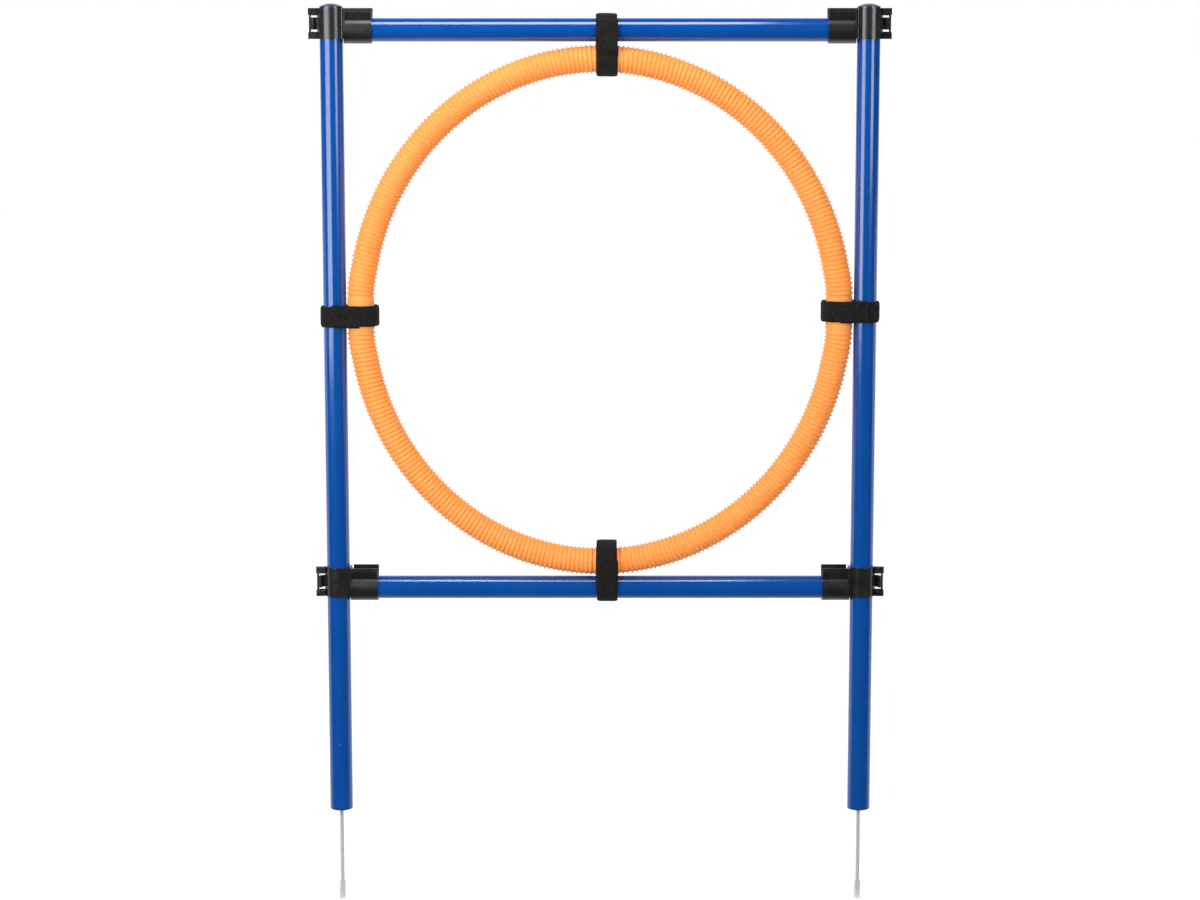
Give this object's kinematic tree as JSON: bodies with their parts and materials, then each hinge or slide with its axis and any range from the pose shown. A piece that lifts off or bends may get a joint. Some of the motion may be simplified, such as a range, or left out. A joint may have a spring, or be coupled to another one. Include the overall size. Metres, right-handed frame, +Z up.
{
  "type": "agility ring jump",
  "caption": "Free-standing hoop jump: two spiked posts joined by clamped cross bars that carry a ribbed hose ring in straps.",
  "frame": {"origin": "midway between the posts on the ground line, level with the undersides of the post feet", "axes": "+Z up the posts, +X across the jump to the viewer's right, +Y along the way the dog jumps, away from the viewer"},
  "size_m": [0.7504, 0.0466, 1.1898],
  "materials": {
    "blue_tube": "glossy extruded tube",
    "navy_cap": "glossy moulded",
    "dark_plug": "satin moulded",
    "spike_steel": "galvanised",
    "clear_guard": "translucent soft sleeve",
    "black_clamp": "glossy moulded",
    "orange_hose": "satin ribbed hose",
    "pale_coupler": "moulded",
    "black_strap": "napped hook and loop webbing"
  },
  "bodies": {
    "posts": {"left_post": "blue_tube", "right_post": "blue_tube", "left_post_cap": "navy_cap", "right_post_cap": "navy_cap", "left_foot_insert": "dark_plug", "right_foot_insert": "dark_plug", "left_spike": "spike_steel", "right_spike": "spike_steel"},
    "left_guard": {"left_spike_guard": "clear_guard"},
    "right_guard": {"right_spike_guard": "clear_guard"},
    "ring_carriage": {"upper_bar": "blue_tube", "lower_bar": "blue_tube", "upper_bar_plugs": "dark_plug", "lower_bar_plugs": "dark_plug", "upper_left_clamp": "black_clamp", "upper_right_clamp": "black_clamp", "lower_left_clamp": "black_clamp", "lower_right_clamp": "black_clamp", "upper_hose": "orange_hose", "lower_hose": "orange_hose", "left_hose_coupler": "pale_coupler", "right_hose_coupler": "pale_coupler", "top_strap": "black_strap", "bottom_strap": "black_strap", "left_strap": "black_strap", "right_strap": "black_strap"},
    "upper_left_gate": {"upper_left_latch": "black_clamp"},
    "upper_right_gate": {"upper_right_latch": "black_clamp"},
    "lower_left_gate": {"lower_left_latch": "black_clamp"},
    "lower_right_gate": {"lower_right_latch": "black_clamp"}
  },
  "joints": [
    {"name": "ring_height", "type": "slide", "parent": "posts", "child": "ring_carriage", "axis": [0, 0, 1], "range_m": [-0.25, 0]},
    {"name": "upper_left_latch_swing", "type": "hinge", "parent": "ring_carriage", "child": "upper_left_gate", "pos_m": [-0.3308, -0.0122, 1.0393], "axis": [0, 0, 1], "range_deg": [0, 80]},
    {"name": "upper_right_latch_swing", "type": "hinge", "parent": "ring_carriage", "child": "upper_right_gate", "pos_m": [0.3308, -0.0122, 1.0393], "axis": [0, 0, -1], "range_deg": [0, 80]},
    {"name": "lower_left_latch_swing", "type": "hinge", "parent": "ring_carriage", "child": "lower_left_gate", "pos_m": [-0.3308, -0.0122, 0.3095], "axis": [0, 0, 1], "range_deg": [0, 80]},
    {"name": "lower_right_latch_swing", "type": "hinge", "parent": "ring_carriage", "child": "lower_right_gate", "pos_m": [0.3308, -0.0122, 0.3095], "axis": [0, 0, -1], "range_deg": [0, 80]},
    {"name": "left_guard_pull", "type": "slide", "parent": "posts", "child": "left_guard", "axis": [0, 0, -1], "range_m": [0, 0.03]},
    {"name": "right_guard_pull", "type": "slide", "parent": "posts", "child": "right_guard", "axis": [0, 0, -1], "range_m": [0, 0.03]}
  ]
}
